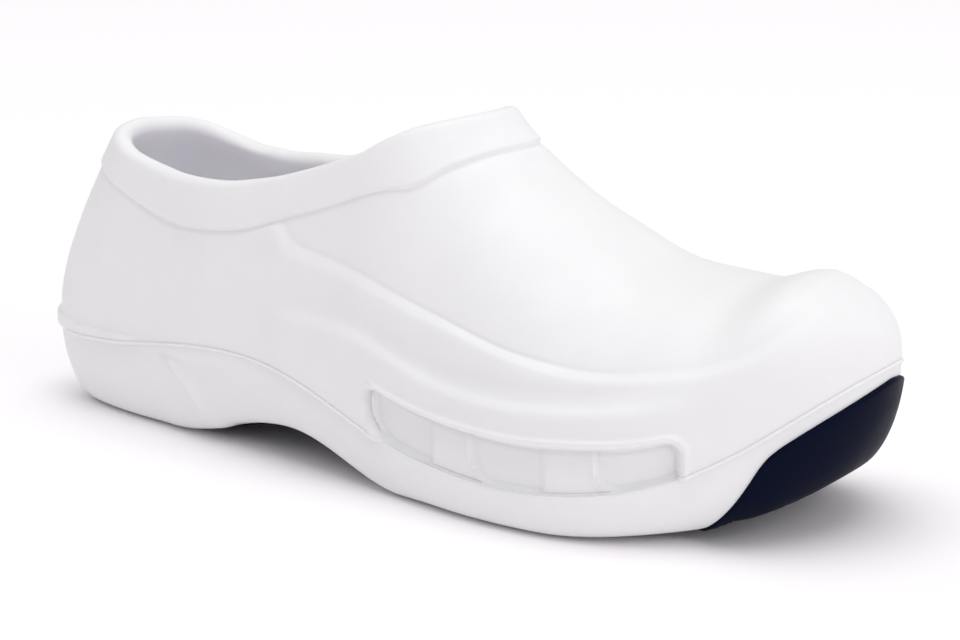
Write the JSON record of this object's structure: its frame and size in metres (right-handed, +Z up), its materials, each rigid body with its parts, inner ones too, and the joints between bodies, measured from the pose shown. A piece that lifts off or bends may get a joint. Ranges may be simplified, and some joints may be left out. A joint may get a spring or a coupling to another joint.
{
  "type": "foam clog",
  "caption": "Right-foot closed-back foam clog: hollow upper with rolled collar, foam midsole, rubber outsole with toe bumper, footbed liner.",
  "frame": {"origin": "middle of the shoe's bounding box in plan, on the floor under the sole", "axes": "+X from the heel to the toe, +Y to the inner (big toe) side, +Z up"},
  "size_m": [0.2942, 0.1092, 0.1093],
  "materials": {
    "foam_upper": "satin moulded EVA foam skin",
    "foam_midsole": "satin moulded EVA foam skin",
    "rubber": "matt moulded rubber",
    "liner": "matt knitted cloth on foam"
  },
  "bodies": {
    "root": {"upper": "foam_upper", "midsole": "foam_midsole", "outsole": "rubber", "insole": "liner"}
  },
  "joints": []
}
